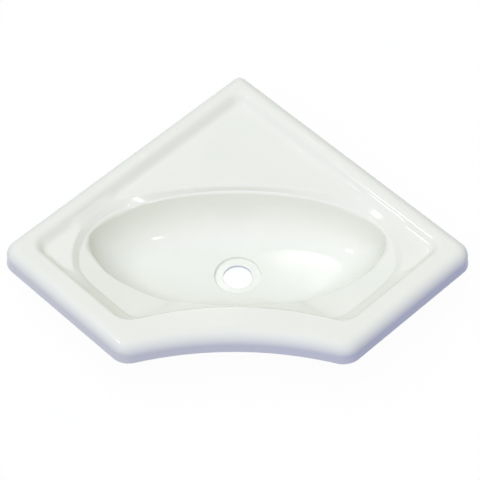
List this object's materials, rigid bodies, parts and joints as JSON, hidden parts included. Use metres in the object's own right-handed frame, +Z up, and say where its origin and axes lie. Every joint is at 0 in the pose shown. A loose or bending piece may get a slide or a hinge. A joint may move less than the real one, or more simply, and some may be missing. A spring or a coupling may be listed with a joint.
{
  "type": "corner basin",
  "caption": "Vacuum-formed plastic corner basin with a rolled rim, turned-down skirt, sunk tap deck, stepped oval bowl and open waste hole, stiffened underneath with bonded plywood.",
  "frame": {"origin": "the corner of the room at the level of the rim's top: the vertical line where the two wall faces meet, crossed with the plane of the rim's top", "axes": "+Z up, +Y into the corner of the room, -Y towards the user, +X to the user's right; both walls run at 45 degrees to X and Y"},
  "size_m": [0.59, 0.4624, 0.0845],
  "materials": {
    "basin_sheet": "glossy acrylic-capped ABS sheet, white, vacuum formed",
    "plywood": "sanded marine plywood, unfinished",
    "adhesive": "cured polyurethane adhesive, satin"
  },
  "bodies": {
    "root": {"basin_shell": "basin_sheet", "deck_board": "plywood", "left_wall_batten": "plywood", "right_wall_batten": "plywood", "left_end_batten": "plywood", "right_end_batten": "plywood", "front_batten": "plywood", "deck_board_adhesive": "adhesive", "batten_adhesive": "adhesive"}
  },
  "joints": []
}
